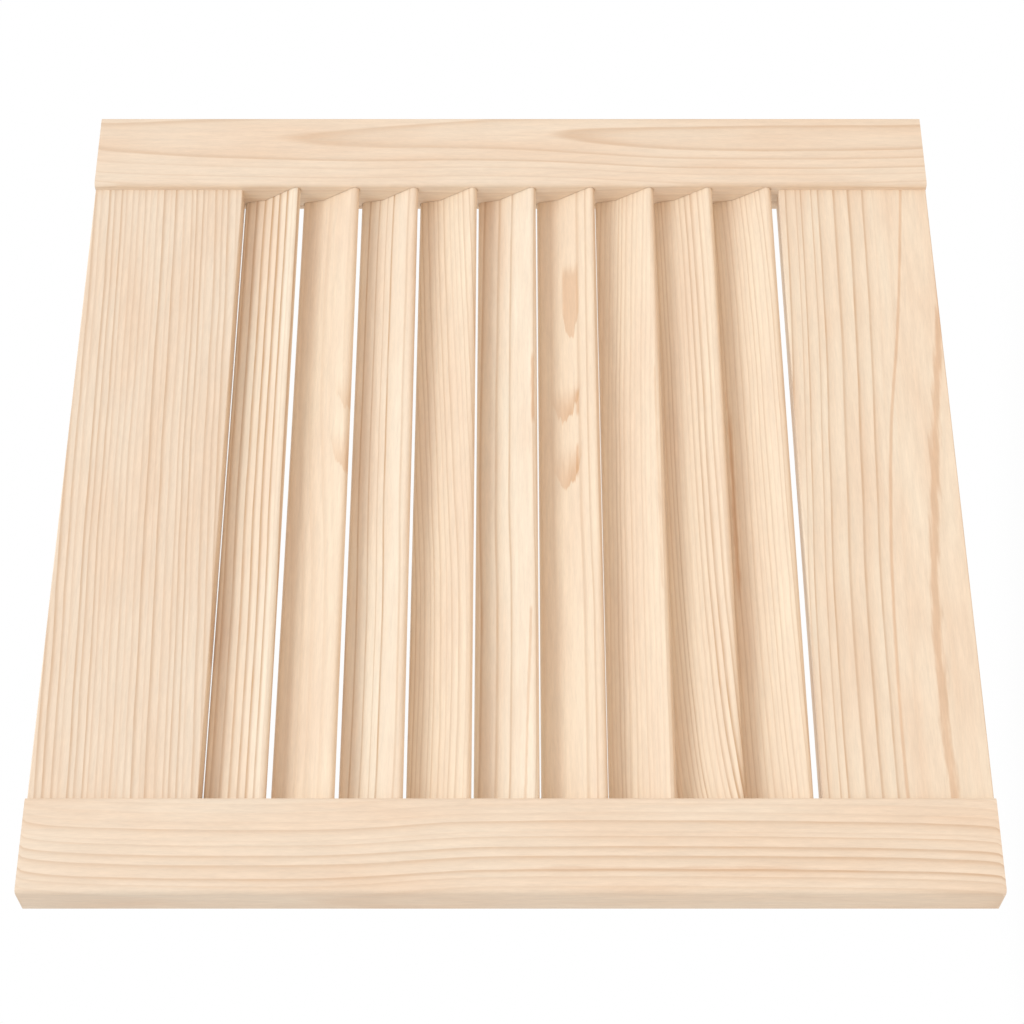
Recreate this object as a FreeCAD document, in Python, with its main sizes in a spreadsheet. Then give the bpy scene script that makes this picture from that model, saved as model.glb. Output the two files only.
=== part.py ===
import FreeCAD, Part
import math
import os
import Sketcher

# A small louvred door leaf in bare pine: two stiles, two rails and a ladder of sloping slats.
# Millimetres. The leaf stands upright as it is hung: +X runs across it from the hinge edge,
# +Y from its front to its back and +Z up. The origin is the middle of the hinge edge.

V = FreeCAD.Vector
doc = FreeCAD.newDocument("LouvredDoor")

# Driving sizes: each is written once, here, and everything else follows from these cells
SIZES = {
    "door_height": 395.0,         # over the ends of the stiles
    "door_width": 395.0,          # over the outer edges of the stiles
    "stile_width": 41.0,
    "stile_thickness": 20.0,
    "stile_arris": 2.0,           # rounding of the long edges
    "rail_width": 70.0,           # measured up the door
    "rail_thickness": 12.0,
    "rail_arris": 0.6,            # rounding of the long edges
    "tenon_length": 24.0,         # depth of the mortise in the stile
    "tenon_width": 46.0,
    "tenon_thickness": 7.0,
    "tenon_play": 0.2,            # glue space round a tenon and beyond its end
    "slat_thickness": 4.0,
    "blade_length": 17.4,         # sloping lower part of a slat, from its nose to its bend
    "blade_tilt": 34.0,           # degrees away from the plane of the door
    "lip_length": 9.0,            # steeper upper part of a slat, from its bend to its top
    "lip_tilt": 12.5,             # degrees away from the plane of the door
    "bend_radius": 4.0,           # of the line midway between a slat's two faces
    "slat_count": 9,
    "slat_housing": 7.0,          # depth of the bent mortise in the stile
    "slat_play": 0.2,             # glue space round a slat and beyond its end
    "first_gap": 0.4,             # between the top rail and the first slat
    "last_gap": 3.8,              # between the last slat and the bottom rail
}

# Sizes that follow, worked out on the sheet itself
FOLLOWING = {
    "clear_width": "door_width - 2 * stile_width",
    "clear_height": "door_height - 2 * rail_width",
    "rail_centre": "(door_height - rail_width) / 2",
    "tenon_reach": "clear_width + 2 * (tenon_length - tenon_play)",
    "slat_rise": "blade_length * cos(blade_tilt * 1deg) + lip_length * cos(lip_tilt * 1deg)"
                 " + slat_thickness",
    "slat_depth": "blade_length * sin(blade_tilt * 1deg) + lip_length * sin(lip_tilt * 1deg)"
                  " + slat_thickness",
    "slat_pitch": "(clear_height - first_gap - last_gap - slat_rise) / (slat_count - 1)",
    "first_nose": "clear_height / 2 - first_gap - slat_rise + slat_thickness / 2",
    "nose_setting": "(slat_thickness - slat_depth) / 2",
    "slat_reach": "clear_width + 2 * (slat_housing - slat_play)",
}

sheet = doc.addObject("Spreadsheet::Sheet", "Sizes")
for row, (name, value) in enumerate(SIZES.items(), start=1):
    sheet.set(f"A{row}", name)
    sheet.set(f"B{row}", str(value))
    sheet.setAlias(f"B{row}", name)
for row, (name, formula) in enumerate(FOLLOWING.items(), start=len(SIZES) + 2):
    sheet.set(f"A{row}", name)
    sheet.set(f"B{row}", "=" + formula)
    sheet.setAlias(f"B{row}", name)
doc.recompute()


# Helpers shared by the pieces

def bind(thing, formulas):
    """Ties each property or constraint named in formulas to cells of the sheet."""
    for path, formula in formulas.items():
        thing.setExpression(path, formula)


def origin_item(body, role):
    return next(item for item in body.Origin.OriginFeatures if item.Role == role)


def new_sketch(body, name, plane):
    sketch = body.newObject("Sketcher::SketchObject", f"{body.Name}_{name}")
    sketch.AttachmentSupport = [(origin_item(body, plane), "")]
    sketch.MapMode = "FlatFace"
    return sketch


def name_size(sketch, name, *constraint):
    """Adds a sizing constraint that an expression can reach by its name."""
    index = sketch.addConstraint(Sketcher.Constraint(*constraint))
    sketch.renameConstraint(index, name)


def draw_rectangle(sketch, across, up):
    """A rectangle centred on the sketch's origin."""
    corners = [V(-5, -5, 0), V(5, -5, 0), V(5, 5, 0), V(-5, 5, 0)]
    for start, end in zip(corners, corners[1:] + corners[:1]):
        sketch.addGeometry(Part.LineSegment(start, end), False)
    for line in range(4):
        sketch.addConstraint(Sketcher.Constraint("Coincident", line, 2, (line + 1) % 4, 1))
    for line in (0, 2):
        sketch.addConstraint(Sketcher.Constraint("Horizontal", line))
    for line in (1, 3):
        sketch.addConstraint(Sketcher.Constraint("Vertical", line))
    sketch.addConstraint(Sketcher.Constraint("Symmetric", 0, 1, 2, 1, -1, 1))
    name_size(sketch, "across", "Distance", 0, 10.0)
    name_size(sketch, "up", "Distance", 1, 10.0)
    bind(sketch, {"Constraints.across": across, "Constraints.up": up})


def draw_bent_strip(sketch, thickness):
    """The section of a slat, with the middle of its nose on the sketch's origin.

    A strip of even thickness follows a bent line: the blade rises backwards from the nose, the lip
    goes on more steeply from the bend to the top, and both ends are half-round.
    """
    nose, bend, top = V(0, 0, 0), V(10, 14, 0), V(12, 23, 0)
    half = 2.0
    normal = V(0, 0, 1)
    blade_side = V(1.6, -1.1, 0)
    lip_side = V(2.0, -0.4, 0)
    lines = [(nose, bend), (bend, top),
             (bend + blade_side, nose + blade_side), (nose - blade_side, bend - blade_side),
             (bend - lip_side, top - lip_side), (top + lip_side, bend + lip_side)]
    for start, end in lines:
        sketch.addGeometry(Part.LineSegment(start, end), False)
    for line in (0, 1):
        sketch.toggleConstruction(line)
    round_nose = Part.ArcOfCircle(Part.Circle(nose, normal, half), math.pi * 0.8, math.pi * 1.8)
    round_top = Part.ArcOfCircle(Part.Circle(top, normal, half), -math.pi * 0.05, math.pi * 0.95)
    pivot = bend + V(-3.7, 1.6, 0)
    inner_bend = Part.ArcOfCircle(Part.Circle(pivot, normal, half), -math.pi * 0.2, -math.pi * 0.07)
    outer_bend = Part.ArcOfCircle(Part.Circle(pivot, normal, 3 * half), -math.pi * 0.2, -math.pi * 0.07)
    for arc in (round_nose, round_top, inner_bend, outer_bend):
        sketch.addGeometry(arc, False)
    blade_line, lip_line, blade_back, blade_front, lip_front, lip_back = range(6)
    nose_arc, top_arc, front_arc, back_arc = range(6, 10)

    def rule(*parts):
        sketch.addConstraint(Sketcher.Constraint(*parts))

    rule("Coincident", blade_line, 1, -1, 1)
    rule("Coincident", blade_line, 2, lip_line, 1)
    rule("Coincident", nose_arc, 3, blade_line, 1)
    rule("Coincident", top_arc, 3, lip_line, 2)
    for face in (blade_front, blade_back):
        rule("Parallel", face, blade_line)
    for face in (lip_front, lip_back):
        rule("Parallel", face, lip_line)
    for first, first_end, second, second_end in (
            (blade_back, 2, nose_arc, 2), (nose_arc, 1, blade_front, 1), (blade_front, 2, front_arc, 1),
            (front_arc, 2, lip_front, 1), (lip_front, 2, top_arc, 2), (top_arc, 1, lip_back, 1),
            (lip_back, 2, back_arc, 2), (back_arc, 1, blade_back, 1)):
        rule("Tangent", first, first_end, second, second_end)
    name_size(sketch, "blade", "Distance", blade_line, 17.0)
    name_size(sketch, "lip", "Distance", lip_line, 9.0)
    name_size(sketch, "blade_rise", "Angle", blade_line, math.radians(55))
    name_size(sketch, "lip_rise", "Angle", lip_line, math.radians(77))
    name_size(sketch, "nose_radius", "Radius", nose_arc, half)
    name_size(sketch, "top_radius", "Radius", top_arc, half)
    name_size(sketch, "front_bend", "Radius", front_arc, half)
    name_size(sketch, "back_bend", "Radius", back_arc, 3 * half)
    bind(sketch, {"Constraints.blade": "Sizes.blade_length",
                  "Constraints.lip": "Sizes.lip_length",
                  "Constraints.blade_rise": "90deg - Sizes.blade_tilt * 1deg",
                  "Constraints.lip_rise": "90deg - Sizes.lip_tilt * 1deg",
                  "Constraints.nose_radius": f"({thickness}) / 2",
                  "Constraints.top_radius": f"({thickness}) / 2",
                  "Constraints.front_bend": f"Sizes.bend_radius - ({thickness}) / 2",
                  "Constraints.back_bend": f"Sizes.bend_radius + ({thickness}) / 2"})


def pad_both_ways(body, name, sketch, length):
    pad = body.newObject("PartDesign::Pad", f"{body.Name}_{name}")
    pad.Profile = sketch
    pad.SideType = "Symmetric"
    bind(pad, {"Length": length})
    doc.recompute()
    return pad


def round_long_edges(body, base, direction, radius):
    """Rounds every edge of the blank that runs along the grain."""
    along = []
    for number, edge in enumerate(base.Shape.Edges, start=1):
        run = edge.Vertexes[-1].Point - edge.Vertexes[0].Point
        if run.cross(direction).Length < 1e-6:
            along.append(f"Edge{number}")
    fillet = body.newObject("PartDesign::Fillet", f"{body.Name}_arrises")
    fillet.Base = (base, along)
    bind(fillet, {"Radius": radius})
    doc.recompute()
    return fillet


def cut_into_edge(body, name, sketch, side, depth):
    """A pocket from the stile's inner edge towards its outer edge."""
    pocket = body.newObject("PartDesign::Pocket", f"{body.Name}_{name}")
    pocket.Profile = sketch
    pocket.Reversed = side < 0
    bind(pocket, {"Length": depth})
    doc.recompute()
    return pocket


# Stiles: planed square, long edges eased, inner edge mortised for the rails and the slats

def make_stile(name, side):
    """side is +1 where the door lies on the +X side of the stile, and -1 where it lies on the other."""
    body = doc.addObject("PartDesign::Body", name)
    profile = new_sketch(body, "section", "XY_Plane")
    draw_rectangle(profile, "Sizes.stile_width", "Sizes.stile_thickness")
    bind(profile, {"AttachmentOffset.Base.x": f"{side} * Sizes.stile_width / 2"})
    blank = pad_both_ways(body, "blank", profile, "Sizes.door_height")
    round_long_edges(body, blank, V(0, 0, 1), "Sizes.stile_arris")

    tenon_hole = new_sketch(body, "rail_mortise_outline", "YZ_Plane")
    draw_rectangle(tenon_hole, "Sizes.tenon_thickness + 2 * Sizes.tenon_play",
                   "Sizes.tenon_width + 2 * Sizes.tenon_play")
    bind(tenon_hole, {"AttachmentOffset.Base.y": "Sizes.rail_centre",
                      "AttachmentOffset.Base.z": f"{side} * Sizes.stile_width"})
    upper = cut_into_edge(body, "rail_mortise", tenon_hole, side, "Sizes.tenon_length")
    both = body.newObject("PartDesign::Mirrored", f"{name}_rail_mortises")
    both.Originals = [upper]
    both.MirrorPlane = (origin_item(body, "XY_Plane"), [""])
    body.Tip = both
    doc.recompute()

    slat_hole = new_sketch(body, "slat_mortise_outline", "YZ_Plane")
    draw_bent_strip(slat_hole, "Sizes.slat_thickness + 2 * Sizes.slat_play")
    bind(slat_hole, {"AttachmentOffset.Base.x": "Sizes.nose_setting",
                     "AttachmentOffset.Base.y": "Sizes.first_nose",
                     "AttachmentOffset.Base.z": f"{side} * Sizes.stile_width"})
    first = cut_into_edge(body, "slat_mortise", slat_hole, side, "Sizes.slat_housing")
    row = body.newObject("PartDesign::LinearPattern", f"{name}_slat_mortises")
    row.Originals = [first]
    row.Direction = (origin_item(body, "Z_Axis"), [""])
    row.Reversed = True
    row.Mode = "Spacing"
    bind(row, {"Offset": "Sizes.slat_pitch", "Occurrences": "Sizes.slat_count"})
    body.Tip = row
    doc.recompute()
    return body


# Rails: a thin flat board with eased long edges and one wide tenon at each end

def make_rail(name, end):
    """end is +1 for the top rail and -1 for the bottom rail."""
    body = doc.addObject("PartDesign::Body", name)
    board_section = new_sketch(body, "section", "YZ_Plane")
    draw_rectangle(board_section, "Sizes.rail_thickness", "Sizes.rail_width")
    board = pad_both_ways(body, "board", board_section, "Sizes.clear_width")
    round_long_edges(body, board, V(1, 0, 0), "Sizes.rail_arris")
    tenon_section = new_sketch(body, "tenon_section", "YZ_Plane")
    draw_rectangle(tenon_section, "Sizes.tenon_thickness", "Sizes.tenon_width")
    body.Tip = pad_both_ways(body, "tenons", tenon_section, "Sizes.tenon_reach")
    bind(body, {"Placement.Base.x": "Sizes.door_width / 2",
                "Placement.Base.z": f"{end} * Sizes.rail_centre"})
    return body


# Slats: thin strips let into both stiles, each bent so that its lip stands behind the one above

def make_slat(number):
    body = doc.addObject("PartDesign::Body", f"slat_{number}")
    section = new_sketch(body, "section", "YZ_Plane")
    draw_bent_strip(section, "Sizes.slat_thickness")
    body.Tip = pad_both_ways(body, "board", section, "Sizes.slat_reach")
    bind(body, {"Placement.Base.x": "Sizes.door_width / 2",
                "Placement.Base.y": "Sizes.nose_setting",
                "Placement.Base.z": f"Sizes.first_nose - {number - 1} * Sizes.slat_pitch"})
    return body


pieces = [make_stile("left_stile", +1), make_stile("right_stile", -1)]
pieces[1].setExpression("Placement.Base.x", "Sizes.door_width")
pieces += [make_rail("top_rail", +1), make_rail("bottom_rail", -1)]
pieces += [make_slat(number) for number in range(1, int(sheet.slat_count) + 1)]
doc.recompute()


# Checks before anything is written

for item in doc.Objects:
    if "Invalid" in item.State or "Error" in item.State:
        raise RuntimeError(f"{item.Label} did not build: {item.State}")
for body in pieces:
    if body.Shape.isNull() or not body.Shape.isValid() or len(body.Shape.Solids) != 1:
        raise RuntimeError(f"{body.Label} is not one sound solid")

os.makedirs("parts", exist_ok=True)
for body in pieces:
    body.Shape.exportStep(f"parts/{body.Label}.step")
    box = body.Shape.BoundBox
    print(f"{body.Label:12s} {body.Shape.Volume / 1000:8.2f} cm3  "
          f"x {box.XMin:.2f} to {box.XMax:.2f}  y {box.YMin:.2f} to {box.YMax:.2f}  "
          f"z {box.ZMin:.2f} to {box.ZMax:.2f}")
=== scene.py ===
# %% [markdown]
# # A louvred door leaf in bare pine
#
# The object is one small cabinet door: two stiles, two wide rails and nine bent slats let into the
# stiles, all in unfinished pine. The construction model already holds every board at its true size,
# so this lesson adds no new boards. Its work is the wood itself: where each board came out of the
# tree, how its yearly rings cross its faces, and how soft light falls on it.
#
# The first step loads the model and keeps its box, which places the floor.

# %% Load the model
import math
import random

import bpy
from mathutils import Matrix, Vector


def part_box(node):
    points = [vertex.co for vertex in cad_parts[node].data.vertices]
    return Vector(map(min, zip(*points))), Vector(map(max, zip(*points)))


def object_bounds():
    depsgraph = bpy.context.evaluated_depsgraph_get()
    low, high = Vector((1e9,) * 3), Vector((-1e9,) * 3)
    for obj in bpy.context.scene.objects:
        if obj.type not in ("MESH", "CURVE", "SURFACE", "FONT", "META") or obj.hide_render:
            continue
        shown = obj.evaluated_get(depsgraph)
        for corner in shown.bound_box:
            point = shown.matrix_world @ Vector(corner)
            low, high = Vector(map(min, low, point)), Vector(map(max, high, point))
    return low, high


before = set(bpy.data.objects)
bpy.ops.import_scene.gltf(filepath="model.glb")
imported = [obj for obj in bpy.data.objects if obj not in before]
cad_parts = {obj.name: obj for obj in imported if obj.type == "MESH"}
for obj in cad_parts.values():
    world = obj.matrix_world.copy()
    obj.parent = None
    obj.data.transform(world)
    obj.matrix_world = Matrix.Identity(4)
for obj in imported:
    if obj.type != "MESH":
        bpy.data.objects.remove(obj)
model_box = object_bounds()
boards = sorted(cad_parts)
print("boards:", ", ".join(boards))

# %% [markdown]
# ## Sums written as sums
#
# A wood pattern is mostly arithmetic: distances, squares, fractions. Wired by hand that is a tangle of
# small nodes, so one class wraps the output of a node and lets it be added, multiplied and divided
# like a number. `1 - mask` then adds the Math node that it needs. Every other kind of node comes from
# one method, `node`, which takes the settings first and the sockets after them, because some settings
# change which sockets there are.

# %% A socket that can be used in sums
def draw_curve(mapping, points):
    """Lay a curve node's line through points between (0, 0) and (1, 1), and level beyond them."""
    mapping.extend = "HORIZONTAL"
    curve = mapping.curves[0]
    for place in points[1:-1]:
        curve.points.new(*place)
    curve.points[0].location = points[0]
    curve.points[-1].location = points[-1]
    mapping.update()


class Flow:
    """One output of a material's nodes, used in sums as if it were a number."""

    def __init__(self, tree, socket=None):
        self.tree = tree
        self.socket = socket

    def node(self, kind, settings=None, sockets=None, result=0):
        """Add any node: its settings, then its sockets. The answer is one of its outputs."""
        node = self.tree.nodes.new("ShaderNode" + kind)
        for name, value in (settings or {}).items():
            if name == "points":
                draw_curve(node.mapping, value)
            else:
                setattr(node, name, value)
        for key, value in (sockets or {}).items():
            if isinstance(value, Flow):
                self.tree.links.new(value.socket, node.inputs[key])
            else:
                node.inputs[key].default_value = value
        return Flow(self.tree, node.outputs[result])

    def math(self, operation, *values):
        """A Math node on plain values."""
        return self.node("Math", {"operation": operation}, dict(enumerate(values)))

    def __add__(self, other):
        return self.math("ADD", self, other)

    def __sub__(self, other):
        return self.math("SUBTRACT", self, other)

    def __mul__(self, other):
        return self.math("MULTIPLY", self, other)

    def __truediv__(self, other):
        return self.math("DIVIDE", self, other)

    def __radd__(self, other):
        return self.math("ADD", other, self)

    def __rsub__(self, other):
        return self.math("SUBTRACT", other, self)

    def __rmul__(self, other):
        return self.math("MULTIPLY", other, self)

    def __rtruediv__(self, other):
        return self.math("DIVIDE", other, self)

    def parts(self):
        """The x, y and z of a vector."""
        split = self.node("SeparateXYZ", None, {0: self}).socket.node
        return [Flow(self.tree, output) for output in split.outputs]

    def smooth(self, start, end):
        """0 below start, 1 above end, and a soft rise between them."""
        limits = {"From Min": start, "From Max": end}
        settings = {"interpolation_type": "SMOOTHSTEP"}
        return self.node("MapRange", settings, {"Value": self, **limits})

    def choose(self, first, second):
        """Mix two colours: this value is how much of the second one is used."""
        factor, colour_a, colour_b = 0, 6, 7      # the Mix node's inputs for colours
        mixed_colour = 2                          # and its output
        sockets = {factor: self, colour_a: first, colour_b: second}
        return self.node("Mix", {"data_type": "RGBA"}, sockets, result=mixed_colour)


# %% [markdown]
# ## Where a board lay in the tree
#
# A tree grows one ring a year round its heart, pale in spring and dark in late summer. A board is a
# straight cut through those rings, and its figure depends only on where the heart ran past it. A heart
# far off to one side gives straight lines, and a heart close behind the face gives long pointed
# flames and closed ellipses. Drawing such lines by hand would need hundreds of points, and a stretched
# noise picture has the same figure on every face. So the rings are worked out in the solid: each point
# of a board measures its distance to the heart, and the lines then run round an edge as they do in
# real timber, and turn into arcs on the end grain.
#
# The heart of a real trunk isn't straight, so its way along the board is drawn as a smooth line through
# a few places. Finer ripples come from a noise texture that is stretched along the grain.

# %% The line of the heart
LEVEL = 0.001                    # a line that rises less than this is one plain number
SEED_SHIFT = (7.3, 3.1, 5.7)     # how far one step of a seed moves the noise, each way
NOISE_MIDDLE = 0.5


def smooth_line(flow, points):
    """A value that follows a smooth line through points, each a place and the value there."""
    places, values = zip(*points)
    first, span = places[0], places[-1] - places[0]
    low, height = min(values), max(values) - min(values)
    if height < LEVEL:
        return low
    drawn = [((place - first) / span, (value - low) / height) for place, value in points]
    curve = flow.node("FloatCurve", {"points": drawn}, {"Value": (flow - first) / span})
    return low + height * curve


def along_board(along, values):
    """A value that runs smoothly through values evenly spaced from along = -1 to along = 1."""
    gap = 2 / max(len(values) - 1, 1)
    return smooth_line(along, [(-1 + gap * number, value) for number, value in enumerate(values)])


def clouds(flow, place, scale, seed, detail):
    """Unevenness in space, between about -0.5 and 0.5, with scale swells a millimetre each way."""
    shift = tuple(seed * step for step in SEED_SHIFT)
    settings = {"operation": "MULTIPLY_ADD"}
    moved = flow.node("VectorMath", settings, {0: place, 1: scale, 2: shift})
    return flow.node("TexNoise", None, {"Vector": moved, "Scale": 1.0, "Detail": detail}) - NOISE_MIDDLE


# %% [markdown]
# ## One year's growth
#
# Across one ring the wood darkens slowly through the summer and stops at a sharp line in the autumn,
# where the pale wood of next spring begins. That uneven step is what tells pine from painted stripes,
# so a sine wave won't do: the darkness rises over most of the ring and falls at once.
#
# No two years are equally wide or equally dark. A boldly lined board names its few lines one by one,
# each by its distance from the heart and its strength. A board of many close lines takes them from a
# seeded chance instead, because a long list would look no truer. A curve through the distances then
# counts the years at any point, and their whole number picks the strength.

# %% Rings
LINE = 0.86                  # where in a ring the late wood is darkest
SUMMER = 0.1                 # where in a ring the slow darkening starts
BEYOND = 9                   # rings added on either side of the stated ones, for the other faces
WIDTHS = (0.7, 1.3)          # the narrowest and widest close ring, as shares of the usual one
STRENGTHS = (0.4, 1.4)       # the faintest and strongest close line, in the same way
RIPPLE_SWELLS = (0.02, 0.12, 0.12)
RIPPLE_DETAIL = 4.0


def close_lines(first, last, width, strength, seed):
    """Lines about a width apart from first to last, each with a strength of its own."""
    chance = random.Random(seed)
    lines, radius = [], first
    while radius < last:
        lines.append((radius, strength * chance.uniform(*STRENGTHS)))
        radius += width * chance.uniform(*WIDTHS)
    return tuple(lines)


def growth_rings(place, along, across, depth, board, seed):
    """How dark the late wood is at each point of a board, from 0 to 1."""
    heart_across, heart_depth = board["heart"]
    beside = across - heart_across - along_board(along, board["wander"])
    below = depth - heart_depth - along_board(along, board["rise"])
    radius = place.math("SQRT", beside * beside + below * below)
    radius = radius + board["ripple"] * clouds(place, place, RIPPLE_SWELLS, seed, RIPPLE_DETAIL)

    radii = [line_radius for line_radius, strength in board["lines"]]
    last = len(radii) - 1
    beyond = BEYOND * (radii[-1] - radii[0]) / last
    counted = [(radii[0] - beyond, -BEYOND), *zip(radii, range(last + 1)),
               (radii[-1] + beyond, last + BEYOND)]
    years = smooth_line(radius, counted) + LINE
    number = years.math("FLOOR", years)
    strength = smooth_line(number, [(year, line[1]) for year, line in enumerate(board["lines"])])

    phase = years.math("FRACT", years)
    slow = board["haze"] * phase.smooth(SUMMER, LINE)
    line = (1 - board["haze"]) * phase.smooth(LINE - board["late_wood"], LINE)
    autumn = phase.smooth(LINE, LINE + board["step"])
    return (slow + line) * (1 - autumn) * strength * along_board(along, board["along"])


# %% [markdown]
# ## The colours of pine
#
# Bare pine is a warm cream in its spring wood and a tan or light brown in its late wood, and resin
# stains it a redder brown. One average colour with noise would look like cardboard, so each of them has
# its own. They are written as they look on a screen and turned into the linear values that light is
# counted in. Most slats are a little warmer than the stiles, and the bottom rail and three boldly lined
# slats are paler than the rest.

# %% Colours of pine
def screen_colour(red, green, blue):
    """A colour given as 0 to 255 on the screen, as linear light, by the screen's standard curve."""
    def linear(level):
        level = level / 255
        return level / 12.92 if level <= 0.04045 else ((level + 0.055) / 1.055) ** 2.4
    return (linear(red), linear(green), linear(blue), 1.0)


SPRING_WOOD = screen_colour(236, 222, 203)
SLAT_WOOD = screen_colour(240, 223, 199)
PALE_WOOD = screen_colour(241, 229, 209)
WARM_WOOD = screen_colour(233, 210, 186)
LATE_WOOD = screen_colour(199, 165, 131)
RESIN = screen_colour(203, 150, 100)
print("spring wood in linear light:", [round(part, 2) for part in SPRING_WOOD[:3]])

# %% [markdown]
# ## Streaks and flames
#
# Two marks break the even lines. A pocket of resin leaves a thin brown streak with ragged sides. Where
# a ring runs out of the face at a slant it leaves a flame: a rounded tip with a dark outline that fades
# behind it. Both could come from the rings alone, but only where chance puts them, so each is placed
# one
# by one: a streak as its distance from a smooth line, a flame as a parabola with a fading tail.

# %% Streaks and flames
# A streak gives its path, which is its place across the board at even steps along it, and its width,
# from its middle to its side. These it may leave as usual:
USUAL_STREAK = {
    "from": -1000.0,         # where it begins along the board; the usual one runs off both ends
    "to": 1000.0,            # where it ends
    "fade": 4.0,             # the length over which an end fades
    "ragged": 1.5,           # how far the fibres tear its sides, from least to most, in widths
    "strength": 0.45,
}
# A flame gives its place across, its width from its middle to its side, the place of its tip along
# the board, how far behind the tip it has faded away, and its strength. These it may leave as usual:
USUAL_FLAME = {
    "point": 12.0,           # how far its sides lie behind its tip
    "solid": 1.5,            # how far behind its tip it starts to fade
    "lean": 0.0,             # how much darker one side is than the middle
}
STREAK_CORE = 0.2            # the share of a streak's width that is fully dark
FLAME_TORN = 12              # how far the fibres tear a flame's outline, from least to most
FLAME_OUTLINE = 2.0          # the length over which its outline darkens
FLAME_SIDES = (0.6, 1.5)     # where its sides start to fade and are gone, in squared widths


def streak(along_mm, across, along, fibres, own):
    """A brown streak of resin along a smooth line, from 0 where there is none to its strength."""
    own = {**USUAL_STREAK, **own}
    beside = across - along_board(along, own["path"])
    off = beside.math("ABSOLUTE", beside) / own["width"] + own["ragged"] * fibres
    begins = along_mm.smooth(own["from"] - own["fade"], own["from"])
    ends = along_mm.smooth(own["to"], own["to"] + own["fade"])
    return own["strength"] * (1 - off.smooth(STREAK_CORE, 1.0)) * begins * (1 - ends)


def flame(along_mm, across, fibres, own):
    """The rounded tip of a ring that runs out of the face: dark at its outline, fading behind it."""
    own = {**USUAL_FLAME, **own}
    beside = (across - own["across"]) / own["width"]
    beside_squared = beside * beside
    behind = along_mm - own["tip"] + FLAME_TORN * fibres
    outline = (behind - own["point"] * beside_squared).smooth(0.0, FLAME_OUTLINE)
    faded = behind.smooth(own["solid"], own["fade"])
    sides = (1 - beside_squared.smooth(*FLAME_SIDES)) * (1 + own["lean"] * beside)
    return own["strength"] * outline * (1 - faded) * sides


# %% [markdown]
# ## The material of one board
#
# Everything meets here. The spring wood is warmed in slow patches, the late wood is laid over it and
# broken up by the fibres, and the marks come last. Late wood is denser, so it takes the plane smoother
# and stands a little proud: the same values set the roughness and the relief. All is worked out in the
# board's own solid millimetres and stays together round an edge.

# %% What a board is unless it says otherwise
FIBRE_SWELLS = (0.06, 0.6, 0.6)      # swells a millimetre along, across and through the board
FINE_SWELLS = (0.25, 2.2, 2.2)
PATCH_SWELLS = (0.012, 0.07, 0.07)
MILLIMETRES = 1000                   # in a metre
AXES = {"X": 0, "Y": 1, "Z": 2}

# Each board gives its lines, as distances from the heart and strengths, and how far the heart wanders
# across, at even steps along the board. These it may leave as usual:
USUAL_BOARD = {
    "heart": (-60, 0),       # where the heart ran, across from the board's middle and behind it
    "rise": (0,),            # how far it strays backwards, in the same steps
    "along": (1,),           # the strength of all lines, in the same steps
    "late_wood": 0.35,       # the share of a ring that its dark line takes
    "haze": 0.35,            # the share of the darkness that comes slowly, over the whole ring
    "step": 0.12,            # the share of a ring in which the dark line ends
    "ripple": 0.8,           # how far the rings ripple
    "contrast": 0.8,         # how far late wood goes towards its own colour
    "spring": SPRING_WOOD,
    "streaks": (),
    "flames": (),
}


# %% Pine for one board
OBJECT_OUTPUT = 3                # the Texture Coordinate node's output for a place in the solid
WARM_RANGE, WARM_SHARE = 1.2, 0.45           # how patchy the warm wood is, and its usual share
BROKEN = 1.3                                 # how far the fibres break up the late wood
FIBRE_TONE, FINE_TONE = 0.22, 0.12           # how far fibres and fine grain change the tone
PLANED, LATE_SMOOTHER, FIBRE_ROUGHER = 0.66, 0.12, 0.14      # the parts of the roughness
LATE_HEIGHT, FIBRE_HEIGHT, FINE_HEIGHT = 0.05, 0.05, 0.03    # and of the relief, in mm
RELIEF_STRENGTH = 0.8
RELIEF_UNIT = 0.001              # a relief of 1 is a millimetre high
GLOSS = 0.35                     # bare wood mirrors little


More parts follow.
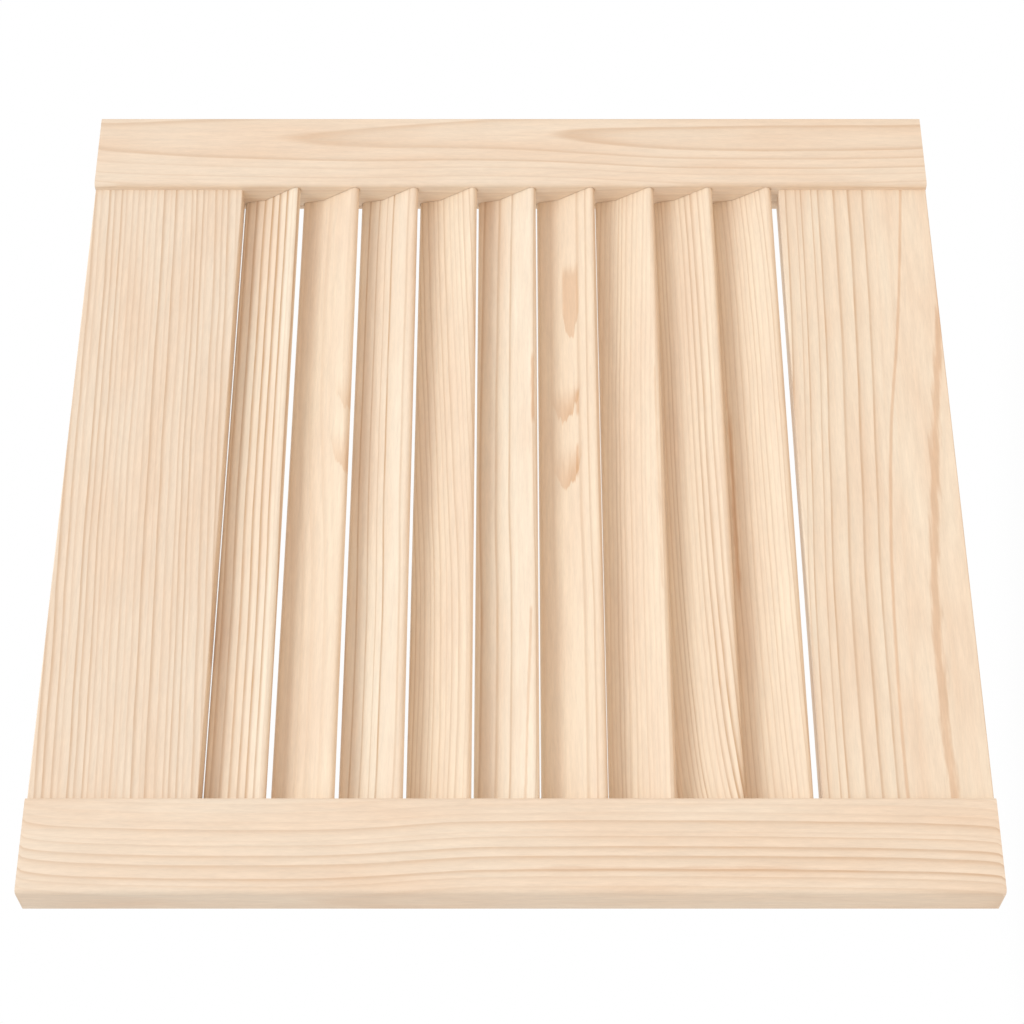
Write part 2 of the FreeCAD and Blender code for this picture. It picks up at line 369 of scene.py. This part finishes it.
def pine(name, seed, grain, over, own):
    """Bare pine for one board, from where it lay in the tree. All lengths are in millimetres."""
    material = bpy.data.materials.new("pine_" + name)
    material.use_nodes = True
    tree = material.node_tree
    shader = tree.nodes["Principled BSDF"]
    start = Flow(tree)

    low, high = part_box(name)
    centre = [MILLIMETRES * (a + b) / 2 for a, b in zip(low, high)]
    length = MILLIMETRES * (high[AXES[grain]] - low[AXES[grain]])
    board = {**USUAL_BOARD, **own}

    metres = start.node("TexCoord", result=OBJECT_OUTPUT).parts()
    place = [part * MILLIMETRES - middle for part, middle in zip(metres, centre)]
    along_mm, across, depth = (place[AXES[axis]] for axis in (grain, over, "Y"))
    along = along_mm / (length / 2)
    own_place = start.node("CombineXYZ", None, {0: along_mm, 1: across, 2: depth})

    late = growth_rings(own_place, along, across, depth, board, seed)
    fibres = clouds(start, own_place, FIBRE_SWELLS, seed + 1.0, detail=3.0)
    fine = clouds(start, own_place, FINE_SWELLS, seed + 2.0, detail=1.0)
    patches = clouds(start, own_place, PATCH_SWELLS, seed + 3.0, detail=3.0)

    warm = (patches * WARM_RANGE + WARM_SHARE).smooth(0.0, 1.0)
    colour = warm.choose(board["spring"], WARM_WOOD)
    broken = late * board["contrast"] * (1 + BROKEN * fibres)
    colour = broken.choose(colour, LATE_WOOD)
    for mark in board["streaks"]:
        colour = streak(along_mm, across, along, fibres, mark).choose(colour, RESIN)
    for mark in board["flames"]:
        colour = flame(along_mm, across, fibres, mark).choose(colour, RESIN)
    tone = 1 + FIBRE_TONE * fibres + FINE_TONE * fine
    colour = start.node("VectorMath", {"operation": "SCALE"}, {0: colour, "Scale": tone})
    tree.links.new(colour.socket, shader.inputs["Base Color"])

    roughness = PLANED - LATE_SMOOTHER * late + FIBRE_ROUGHER * fibres
    tree.links.new(roughness.socket, shader.inputs["Roughness"])
    height = LATE_HEIGHT * late + FIBRE_HEIGHT * fibres + FINE_HEIGHT * fine
    bump = {"Strength": RELIEF_STRENGTH, "Distance": RELIEF_UNIT, "Height": height}
    relief = start.node("Bump", None, bump)
    tree.links.new(relief.socket, shader.inputs["Normal"])
    shader.inputs["Specular IOR Level"].default_value = GLOSS
    return material


SEED_STEP = 3.0                  # from one board's seed to the next


def plane_boards(kind, grain, over, first_seed):
    """Give each named board of one kind its own pine."""
    for number, (name, own) in enumerate(kind.items()):
        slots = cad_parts[name].data.materials
        slots.clear()
        slots.append(pine(name, first_seed + SEED_STEP * number, grain, over, own))
    print("finished:", ", ".join(kind))


# %% [markdown]
# ## The stiles
#
# Both stiles are cut along the grain, so their lines run the length of the door. The right stile came
# from beside the heart. The heart comes nearer to its face towards the bottom, so the innermost rings
# lie open there and end in two long pointed tips that aim at the top. The left stile lay farther out,
# and its lines sag and rise in one slow wave. Each board is given its grain as a few places and
# strengths, so another door with other timber needs only other numbers. These were read off the
# photograph and rounded to whole or half millimetres.

# %% Stiles
STILES = {
    "right_stile": {
        "heart": (10, 15.5), "wander": (-1.5, -2.5, 0, -2.5, -1), "rise": (-1.5, -1.5, 0, 1.5, 3.5),
        "lines": ((25, 1.0), (27, 0.8), (30, 0.9), (32.5, 0.4), (36, 0.5), (37.5, 0.2), (39.5, 0.5)),
        "contrast": 0.45, "late_wood": 0.25, "ripple": 0.4,
    },
    "left_stile": {
        "wander": (-4, 0, 0, -4, 1), "along": (1.3, 1.2, 1.0, 0.9, 0.8),
        "lines": ((43, 0.3), (47, 0.4), (50, 0.9), (55.5, 0.8), (59.5, 0.8), (64, 0.5), (66, 0.2),
                  (70.5, 0.7), (74, 0.2), (78, 0.2)),
        "contrast": 0.55, "haze": 0.45, "ripple": 1.0,
        "streaks": ({"path": (-10.5,), "from": -95, "to": -20, "fade": 30, "width": 1.5,
                     "strength": 0.2},),
    },
}
plane_boards(STILES, grain="Z", over="X", first_seed=11.0)

# %% [markdown]
# ## The rails
#
# The top rail is cut across many narrow rings, so it shows fine, close and nearly straight lines. The
# bottom rail is cut nearer to the heart of a faster trunk: its lines are wide apart and open out
# towards the bottom edge, where a thin dark line and a broad resin streak bow down across them.

# %% Rails
RAILS = {
    "top_rail": {
        "heart": (-90, 0), "wander": (-6, -3, 0, 2, 5), "lines": close_lines(54, 132, 3.2, 0.5, seed=1),
        "contrast": 0.9, "late_wood": 0.5, "ripple": 1.5,
    },
    "bottom_rail": {
        "heart": (-25, 31.5), "wander": (3, 3, 0, -3, -4), "rise": (0, 0, 0, 0.5, 1),
        "lines": ((40.5, 0.1), (43, 0.1), (45.5, 0.7), (49.5, 0.8), (54, 0.7), (59.5, 0.8), (62, 0.6),
                  (66, 0.8), (68, 0.5), (72, 0.8)),
        "contrast": 0.85, "late_wood": 0.2, "step": 0.1, "ripple": 0.5, "spring": PALE_WOOD,
        "streaks": ({"path": (0, -0.5, -5.5, -16.5, -25), "width": 1.1, "ragged": 0.6, "strength": 0.4},
                    {"path": (-20, -18.5, -25, -36, -50), "width": 3.2, "strength": 0.42}),
    },
}
plane_boards(RAILS, grain="X", over="Z", first_seed=23.0)

# %% [markdown]
# ## The slats
#
# The nine slats look as if they were sawn from several boards, and no two match. The first is boldly
# striped, the second almost plain but for two faint flames, the sixth has three flames, the eighth a
# fan of close lines. A loop with one material would save lines here, but nine equal slats are just
# what real pine never shows.

# %% Slats
SLATS = {
    "slat_1": {
        "wander": (-1, -1, 0, 0, 0), "along": (0.8, 0.9, 1.0, 1.1, 1.0),
        "lines": ((48, 0.8), (50.5, 0.2), (53, 0.9), (56.5, 1.0), (60, 0.9), (64, 0.8), (68, 0.7),
                  (72, 0.6)),
        "contrast": 1.0, "late_wood": 0.45, "haze": 0.2, "spring": PALE_WOOD,
    },
    "slat_2": {
        "wander": (-4, -4, 0, 3, 2), "lines": close_lines(48, 72, 5, 0.2, seed=2),
        "contrast": 0.7, "late_wood": 0.6,
        "flames": ({"across": -13, "width": 9, "tip": -1, "point": 22, "fade": 26, "strength": 0.35},
                   {"across": -13, "width": 8, "tip": 31, "point": 18, "fade": 22, "strength": 0.25}),
    },
    "slat_3": {
        "wander": (0.5, -1, 0, 0, -1),
        "lines": ((47, 0.4), (51.5, 0.5), (58.5, 1.0), (61.5, 0.5), (65.5, 0.7), (70, 0.8)),
        "contrast": 0.85, "late_wood": 0.16, "haze": 0.2, "spring": PALE_WOOD,
    },
    "slat_4": {
        "wander": (-2, -3, 0, 4, 7), "lines": close_lines(38, 76, 2.4, 0.45, seed=4), "ripple": 1.4,
    },
    "slat_5": {
        "wander": (1, -1, 0, -0.5, -1.5),
        "lines": ((47.5, 0.4), (49, 0.6), (55.5, 0.1), (59, 0.9), (65, 0.8), (72, 0.9)),
        "contrast": 0.7, "late_wood": 0.2, "spring": PALE_WOOD,
        "streaks": ({"path": (-7.5, -10, -13, -14, -14), "to": -70, "width": 0.9, "strength": 0.35},
                    {"path": (-11.5,), "from": 29, "to": 58, "width": 1.4, "fade": 6}),
    },
    "slat_6": {
        "wander": (-1, -1, 0, 0, -1),
        "lines": ((48, 0.5), (52, 0.6), (55.5, 0.5), (67.5, 0.2), (73, 0.2)),
        "late_wood": 0.25, "haze": 0.2,
        "streaks": ({"path": (-3.5,), "from": 2, "to": 14, "width": 0.9},
                    {"path": (-4,), "from": 34, "to": 43, "width": 1.0}),
        "flames": ({"across": 1, "tip": -6, "width": 6, "fade": 26, "strength": 0.45, "lean": -0.7},
                   {"across": 1.5, "tip": 30, "width": 6.5, "fade": 22, "strength": 0.45, "lean": -0.7},
                   {"across": -1.5, "tip": 74, "width": 3.5, "solid": 34, "fade": 44, "strength": 0.4}),
    },
    "slat_7": {
        "wander": (1, 0.5, 0, -2, -5), "lines": close_lines(45, 80, 2.2, 0.4, seed=7),
        "late_wood": 0.5, "ripple": 1.6,
        "streaks": ({"path": (-11,), "from": -57, "to": 53, "width": 0.8, "strength": 0.2},),
    },
    "slat_8": {
        "wander": (-9, -2, 0, 0.5, 2), "along": (1.5, 1.0, 0.9, 0.8),
        "lines": ((47, 0.3), (50, 0.3), (52, 0.7), (55, 0.9), (57.5, 0.9), (60, 0.6),
                  *close_lines(62, 82, 2, 0.45, seed=8)),
        "contrast": 0.82, "late_wood": 0.5, "haze": 0.25,
    },
    "slat_9": {
        "wander": (-3.5, -1, 0, 0.5, 3), "lines": close_lines(43, 78, 2.2, 0.45, seed=9), "ripple": 1.4,
        "streaks": ({"path": (11,), "from": -45, "to": 25, "width": 1.5, "fade": 20, "strength": 0.45},
                    {"path": (12,), "from": 41, "to": 47, "width": 0.8, "strength": 0.3}),
    },
}
for own in SLATS.values():
    own.setdefault("spring", SLAT_WOOD)
plane_boards(SLATS, grain="X", over="Z", first_seed=37.0)

# %% [markdown]
# ## The camera
#
# The photograph was taken from beyond the left stile, level with the middle of the door, and turned a
# quarter turn, so the top of the door lies to the picture's left. The camera looks along a level line
# 60 degrees round from the door's plane, and rolls so that its right is the door's down. Its place and
# its lens come from a fit of the door's corners and edges to the photograph.

# %% Camera
PICTURE = 1024                   # pixels each way
FOCAL_PIXELS = 2309.5
CENTRE_PIXELS = 510.6            # where the lens's axis meets the picture, from its left side
SENSOR_WIDTH = 36.0
NEAREST = 0.01
LOOK_ANGLE = math.radians(60.0)
CAMERA_PLACE = (-0.32824, -0.88119, 0.0)

camera = bpy.data.cameras.new("camera")
camera_object = bpy.data.objects.new("camera", camera)
bpy.context.scene.collection.objects.link(camera_object)
bpy.context.scene.camera = camera_object
camera.sensor_width = SENSOR_WIDTH
camera.lens = SENSOR_WIDTH * FOCAL_PIXELS / PICTURE
camera.shift_x = (PICTURE / 2 - CENTRE_PIXELS) / PICTURE
camera.clip_start = NEAREST
right = Vector((0, 0, -1))
forward = Vector((math.cos(LOOK_ANGLE), math.sin(LOOK_ANGLE), 0))
up = right.cross(forward)
turn = Matrix((right, up, -forward)).transposed().to_4x4()
turn.translation = CAMERA_PLACE
camera_object.matrix_world = turn
print("lens:", round(camera.lens, 1), "mm")

# %% [markdown]
# ## The light
#
# The photograph has the even light of a white tent, with one soft lamp above and in front, which puts
# the steep top of each slat into the shade of the slat above. The world gives the even light: stronger
# from above, and a trace warmer from the front, where it fills the shade. To the camera and in
# reflections it is plain white. One wide square lamp, a trace cool, gives the shade its soft edge. A
# small lamp or a sun would draw a hard line along every slat.

# %% World
DIRECTION_OUTPUT = 0             # the Texture Coordinate node's output for a direction
FILL = 0.73                      # the strength of the even light on the level
FROM_ABOVE = 0.34                # what is added straight above, and taken away straight below
WHITE = (1.0, 1.0, 1.0, 1.0)
WARM_WHITE = (1.1, 1.0, 0.97, 1.0)

world = bpy.data.worlds.new("white_tent")
bpy.context.scene.world = world
world.use_nodes = True
sky = Flow(world.node_tree)
rays = world.node_tree.nodes.new("ShaderNodeLightPath")
seen = Flow(world.node_tree, rays.outputs["Is Camera Ray"])
for kind in ("Is Glossy Ray", "Is Transmission Ray"):
    seen = seen.math("MAXIMUM", seen, Flow(world.node_tree, rays.outputs[kind]))
aside, behind, above = sky.node("TexCoord", result=DIRECTION_OUTPUT).parts()
tint = (0 - behind).smooth(0.0, 1.0).choose(WHITE, WARM_WHITE)
even = sky.node("Background", None, {"Color": tint, "Strength": FILL + FROM_ABOVE * above})
white = sky.node("Background", None, {"Color": WHITE, "Strength": 1.0})
tent = sky.node("MixShader", None, {0: seen, 1: even, 2: white})
world.node_tree.links.new(tent.socket, world.node_tree.nodes["World Output"].inputs[0])
print("world: even light of", FILL)

# %% Lamp
LAMP_SIZE = 1.4
LAMP_POWER = 60.0
COOL_WHITE = (0.9, 1.0, 1.03)
LAMP_PLACE = Vector((-0.1, -3.0, 3.0))
LAMP_AIM = Vector((0.2, 0.0, 0.0))

lamp = bpy.data.lights.new("soft_lamp", "AREA")
lamp.size = LAMP_SIZE
lamp.energy = LAMP_POWER
lamp.color = COOL_WHITE
lamp_object = bpy.data.objects.new("soft_lamp", lamp)
bpy.context.scene.collection.objects.link(lamp_object)
lamp_object.location = LAMP_PLACE
lamp_object.rotation_euler = (LAMP_AIM - LAMP_PLACE).to_track_quat("-Z", "Y").to_euler()
print("lamp:", round((LAMP_AIM - LAMP_PLACE).length, 1), "m away")

# %% [markdown]
# ## The floor
#
# A pale round floor lies a quarter of a metre below the door. It takes the door's shadow, and towards
# its rim it fades into the white round it, so it has no edge. A sheet of paper that big would throw
# cold light up into the slats, so for bounced light alone it has the warm tone of a wooden bench.

# %% Floor
FLOOR_DROP = 0.25
FLOOR_RADIUS = 1.6
FLOOR_BACK = 0.2                     # its middle lies behind the door's
FLOOR_SIDES = 96
FADE_FROM, FADE_TO = 0.35, 0.62      # as shares of the radius
PAPER = (0.86, 0.86, 0.86, 1.0)
BENCH = (0.76, 0.62, 0.49, 1.0)

low, high = model_box
middle = [(a + b) / 2 for a, b in zip(low, high)]
bpy.ops.mesh.primitive_circle_add(vertices=FLOOR_SIDES, radius=FLOOR_RADIUS, fill_type="NGON",
                                  location=(middle[0], middle[1] + FLOOR_BACK, low[2] - FLOOR_DROP))
floor = bpy.context.object
floor.name = "floor"

# %% Paper
PAPER_ROUGHNESS = 0.8
NUMBER_OUTPUT = 1                    # the Vector Math node's output for a length

paper = bpy.data.materials.new("paper")
paper.use_nodes = True
shader = paper.node_tree.nodes["Principled BSDF"]
shader.inputs["Roughness"].default_value = PAPER_ROUGHNESS
sheet = Flow(paper.node_tree)
seen = Flow(paper.node_tree, sheet.node("LightPath").socket.node.outputs["Is Camera Ray"])
tone = seen.choose(BENCH, PAPER)
paper.node_tree.links.new(tone.socket, shader.inputs["Base Color"])

spot = sheet.node("TexCoord", result=OBJECT_OUTPUT)
distance = sheet.node("VectorMath", {"operation": "LENGTH"}, {0: spot}, result=NUMBER_OUTPUT)
rim = distance.smooth(FADE_FROM * FLOOR_RADIUS, FADE_TO * FLOOR_RADIUS) * seen
glow = sheet.node("Emission", None, {"Color": WHITE, "Strength": 1.0})
cover = sheet.node("MixShader", None, {0: rim, 1: Flow(paper.node_tree, shader.outputs[0]), 2: glow})
paper.node_tree.links.new(cover.socket, paper.node_tree.nodes["Material Output"].inputs[0])
floor.data.materials.append(paper)
print("floor:", FLOOR_DROP, "m below the door")

# %% [markdown]
# ## The end
#
# Last, the colours are shown on the screen's standard curve.

# %% Finish
bpy.context.scene.view_settings.view_transform = "Standard"
